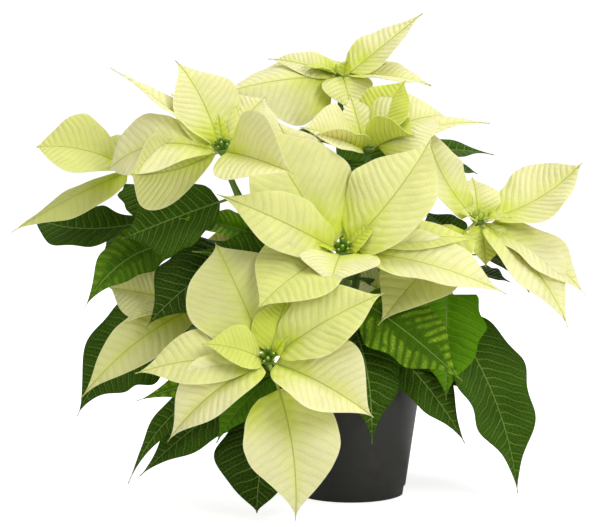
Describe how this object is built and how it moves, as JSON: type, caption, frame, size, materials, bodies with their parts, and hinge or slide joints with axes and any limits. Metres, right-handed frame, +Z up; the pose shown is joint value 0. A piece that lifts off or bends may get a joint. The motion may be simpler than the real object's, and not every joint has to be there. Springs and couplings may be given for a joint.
{
  "type": "potted poinsettia",
  "caption": "Bushy poinsettia with pale cream bracts over dark green leaves, growing in a round tapered nursery pot.",
  "frame": {"origin": "centre of the pot's underside, in the plane that it stands on", "axes": "+Z up out of the pot, +X to the plant's right and +Y to its back as it is looked at"},
  "size_m": [0.5078, 0.381, 0.4296],
  "materials": {
    "pot": "satin",
    "soil": "rough",
    "bark": "rough",
    "leaf": "satin",
    "bract": "satin",
    "bud": "satin"
  },
  "bodies": {
    "root": {"pot": "pot", "soil": "soil", "trunk": "bark", "stem_A": "leaf", "bloom_A": "bract", "buds_A": "bud", "stem_B": "leaf", "bloom_B": "bract", "buds_B": "bud", "stem_C": "leaf", "bloom_C": "bract", "buds_C": "bud", "stem_D": "leaf", "bloom_D": "bract", "buds_D": "bud", "stem_E": "leaf", "bloom_E": "bract", "buds_E": "bud", "stem_F": "leaf", "bloom_F": "bract", "buds_F": "bud", "stem_G": "leaf", "bloom_G": "bract", "buds_G": "bud", "stem_H": "leaf", "bloom_H": "bract", "buds_H": "bud", "stem_I": "leaf", "bloom_I": "bract", "buds_I": "bud", "stem_J": "leaf", "bloom_J": "bract", "buds_J": "bud", "stem_K": "leaf", "bloom_K": "bract", "buds_K": "bud"}
  },
  "joints": []
}
